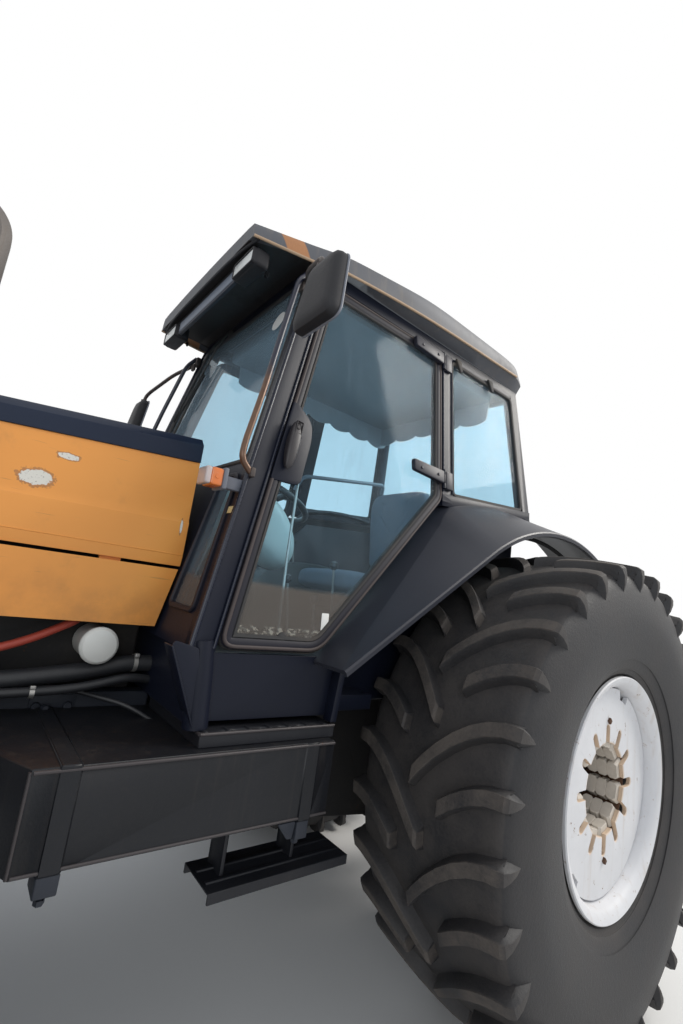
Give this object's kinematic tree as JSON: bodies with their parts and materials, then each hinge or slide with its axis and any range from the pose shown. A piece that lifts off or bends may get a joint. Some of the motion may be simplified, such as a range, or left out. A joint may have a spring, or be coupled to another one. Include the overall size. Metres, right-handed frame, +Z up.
{
  "type": "farm tractor with closed cab",
  "caption": "farm tractor with a closed glass cab, dark top, orange hood sides, pale wheels and high bar lugs",
  "frame": {"origin": "on the ground under the middle of the overall length, on the centreline", "axes": "+X forward, towards the hood; +Y to the tractor's left; +Z up"},
  "size_m": [4.7559, 2.34, 2.8503],
  "materials": {
    "cab_grey": "satin, weathered",
    "hood_dark": "satin, chipped",
    "hood_orange": "gloss, faded",
    "chassis_blue": "satin, dusty",
    "box_black": "satin, dusty",
    "engine_iron": "matte, dusty",
    "exhaust_steel": "rusty",
    "filter_white": "gloss",
    "rim_white": "matte, rusty spots",
    "hitch_steel": "worn",
    "tyre_rubber": "matte, dusty",
    "hose_rubber": "satin",
    "seat_fabric": "matte",
    "dash_plastic": "matte",
    "lamp_lens": "clear",
    "glass": "clear, lightly tinted"
  },
  "bodies": {
    "chassis": {"cab_floor": "cab_grey", "cab_frame": "cab_grey", "dash_console": "dash_plastic", "drawbar": "chassis_blue", "engine_block": "engine_iron", "engine_hoses": "hose_rubber", "exhaust_stack": "exhaust_steel", "filter_canister": "filter_white", "fixed_glass": "glass", "front_axle": "chassis_blue", "front_frame": "chassis_blue", "grille": "hood_dark", "handrails": "cab_grey", "hitch_bracket": "hitch_steel", "hood_side_panels": "hood_orange", "hood_top": "hood_dark", "lamps": "lamp_lens", "mirrors": "cab_grey", "radiator": "engine_iron", "rear_fenders": "cab_grey", "roof": "cab_grey", "seat": "seat_fabric", "side_boxes": "box_black", "steering_column": "dash_plastic", "steps": "box_black", "transmission": "chassis_blue"},
    "rear_wheel_left": {"rear_tyre_left": "tyre_rubber", "rear_rim_left": "rim_white", "rear_hub_left": "rim_white"},
    "rear_wheel_right": {"rear_tyre_right": "tyre_rubber", "rear_rim_right": "rim_white", "rear_hub_right": "rim_white"},
    "knuckle_left": {"knuckle_left": "chassis_blue"},
    "knuckle_right": {"knuckle_right": "chassis_blue"},
    "front_wheel_left": {"front_tyre_left": "tyre_rubber", "front_rim_left": "rim_white"},
    "front_wheel_right": {"front_tyre_right": "tyre_rubber", "front_rim_right": "rim_white"},
    "door_left": {"door_left": "cab_grey", "door_glass_left": "glass"},
    "door_right": {"door_right": "cab_grey", "door_glass_right": "glass"},
    "lift_arms": {"lift_arms": "chassis_blue"},
    "lift_rods": {"lift_rods": "chassis_blue"},
    "lower_links": {"lower_links": "chassis_blue"}
  },
  "joints": [
    {"name": "rear_wheel_left", "type": "hinge", "parent": "chassis", "child": "rear_wheel_left", "pos_m": [-1.262, 0.86, 0.895], "axis": [0, 1, 0], "continuous": true},
    {"name": "rear_wheel_right", "type": "hinge", "parent": "chassis", "child": "rear_wheel_right", "pos_m": [-1.262, -0.86, 0.895], "axis": [0, 1, 0], "continuous": true},
    {"name": "steer_left", "type": "hinge", "parent": "chassis", "child": "knuckle_left", "pos_m": [1.588, 0.69, 0.725], "axis": [0, 0, 1], "range_deg": [-32, 32]},
    {"name": "steer_right", "type": "hinge", "parent": "chassis", "child": "knuckle_right", "pos_m": [1.588, -0.69, 0.725], "axis": [0, 0, 1], "range_deg": [-32, 32]},
    {"name": "front_wheel_left", "type": "hinge", "parent": "knuckle_left", "child": "front_wheel_left", "pos_m": [1.588, 0.9, 0.725], "axis": [0, 1, 0], "continuous": true},
    {"name": "front_wheel_right", "type": "hinge", "parent": "knuckle_right", "child": "front_wheel_right", "pos_m": [1.588, -0.9, 0.725], "axis": [0, 1, 0], "continuous": true},
    {"name": "door_left", "type": "hinge", "parent": "chassis", "child": "door_left", "pos_m": [-0.674, 0.60142, 2.00122], "axis": [0, -0.1289, 0.9917], "range_deg": [0, 70]},
    {"name": "door_right", "type": "hinge", "parent": "chassis", "child": "door_right", "pos_m": [-0.674, -0.60142, 2.00122], "axis": [0, -0.1289, -0.9917], "range_deg": [0, 70]},
    {"name": "lift_arms", "type": "hinge", "parent": "chassis", "child": "lift_arms", "pos_m": [-1.512, 0, 1.13], "axis": [0, 1, 0], "range_deg": [0, 55]},
    {"name": "lift_rods", "type": "hinge", "parent": "lift_arms", "child": "lift_rods", "pos_m": [-1.78389, 0, 1.00321], "axis": [0, 1, 0], "range_deg": [-55, 0]},
    {"name": "lower_links", "type": "hinge", "parent": "chassis", "child": "lower_links", "pos_m": [-1.412, 0, 0.51], "axis": [0, 1, 0], "range_deg": [0, 34]}
  ],
  "couplings": [
    {"joint": "steer_right", "follows": "steer_left", "ratio": 1},
    {"joint": "lift_rods", "follows": "lift_arms", "ratio": -1},
    {"joint": "lower_links", "follows": "lift_arms", "ratio": 0.6}
  ]
}
